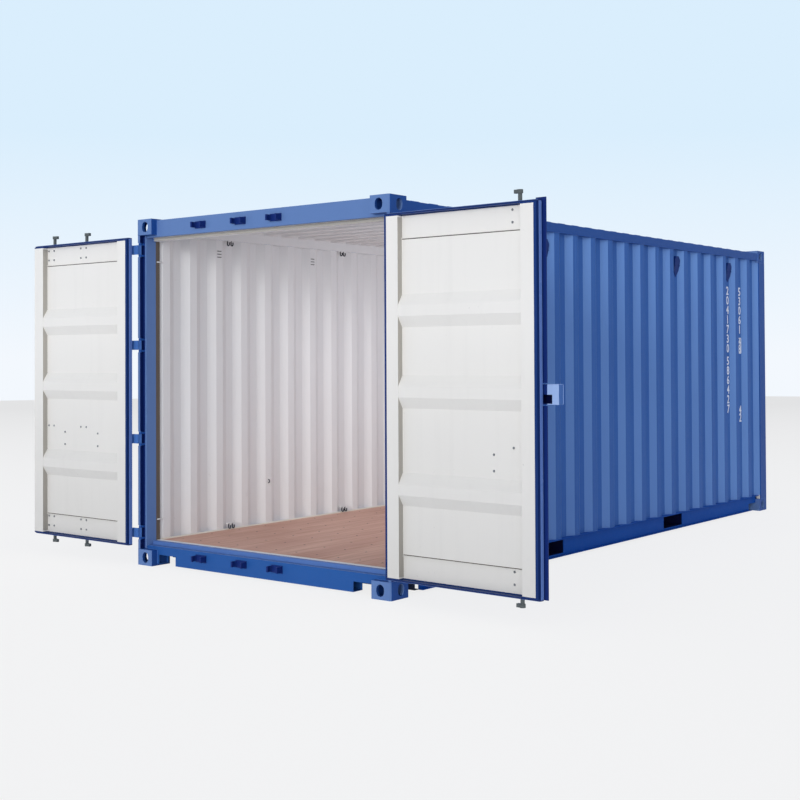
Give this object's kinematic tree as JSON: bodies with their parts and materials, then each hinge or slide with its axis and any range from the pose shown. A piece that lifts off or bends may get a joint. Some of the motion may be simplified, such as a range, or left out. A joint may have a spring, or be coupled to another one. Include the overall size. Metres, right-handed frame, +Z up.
{
  "type": "shipping container",
  "caption": "Long steel freight container with corrugated walls and roof, corner castings, forklift pockets and two hinged end doors with vertical locking bars.",
  "frame": {"origin": "outer bottom corner of the left corner fitting at the door end, at the height of the foot", "axes": "+X across the door end from left to right, +Y from the door end to the closed end, +Z up"},
  "size_m": [4.8944, 6.17, 2.591],
  "materials": {
    "frame_paint": "blue paint, slightly worn",
    "wall_paint": "blue paint on corrugated sheet",
    "door_paint": "off-white inner face, blue outer face",
    "bar_paint": "blue paint on forged and tubular fittings",
    "seal": "dark blue-black door seal",
    "boards": "worn plywood floor",
    "hood": "dark moulded hood"
  },
  "bodies": {
    "frame": {"bottom_corner_fittings": "frame_paint", "top_corner_fittings": "frame_paint", "left_door_post": "frame_paint", "right_door_post": "frame_paint", "post_hinges": "bar_paint", "left_end_post": "frame_paint", "right_end_post": "frame_paint", "door_sill": "frame_paint", "door_header": "frame_paint", "cam_keepers": "bar_paint", "left_bottom_rail": "frame_paint", "right_bottom_rail": "frame_paint", "end_sill": "frame_paint", "end_header": "frame_paint", "left_top_rail": "frame_paint", "right_top_rail": "frame_paint", "left_wall": "wall_paint", "right_wall": "wall_paint", "end_wall": "wall_paint", "roof": "wall_paint", "floor": "boards", "cross_members": "frame_paint", "forklift_pockets": "frame_paint", "left_ventilators": "hood", "right_ventilators": "hood"},
    "left_door": {"left_door_frame": "door_paint", "left_door_panel": "door_paint", "left_door_gasket": "seal", "left_hinge_blades": "bar_paint", "left_bar_guides": "bar_paint", "lock_staple": "bar_paint"},
    "right_door": {"right_door_frame": "door_paint", "right_door_panel": "door_paint", "right_door_gasket": "seal", "right_hinge_blades": "bar_paint", "right_bar_guides": "bar_paint", "overlap_strip": "frame_paint", "lock_box": "bar_paint"},
    "left_outer_bar": {"left_outer_locking_bar": "bar_paint", "left_outer_handle": "bar_paint"},
    "left_inner_bar": {"left_inner_locking_bar": "bar_paint", "left_inner_handle": "bar_paint"},
    "right_bar": {"right_inner_locking_bar": "bar_paint", "right_inner_handle": "bar_paint"}
  },
  "joints": [
    {"name": "left_door_swing", "type": "hinge", "parent": "frame", "child": "left_door", "pos_m": [0.02, 0.012, 1], "axis": [0, 0, -1], "range_deg": [-180.5, 85.5]},
    {"name": "right_door_swing", "type": "hinge", "parent": "frame", "child": "right_door", "pos_m": [2.418, 0.012, 1], "axis": [0, 0, 1], "range_deg": [-178.5, 87.5]},
    {"name": "left_outer_bar_turn", "type": "hinge", "parent": "left_door", "child": "left_outer_bar", "pos_m": [-0.59811, 0.00239, 1], "axis": [0, 0, -1], "range_deg": [-95, 0]},
    {"name": "left_inner_bar_turn", "type": "hinge", "parent": "left_door", "child": "left_inner_bar", "pos_m": [-1.00609, 0.00595, 1], "axis": [0, 0, -1], "range_deg": [-95, 0]},
    {"name": "right_bar_turn", "type": "hinge", "parent": "right_door", "child": "right_bar", "pos_m": [3.44326, -0.02985, 1], "axis": [0, 0, 1], "range_deg": [-95, 0]}
  ]
}
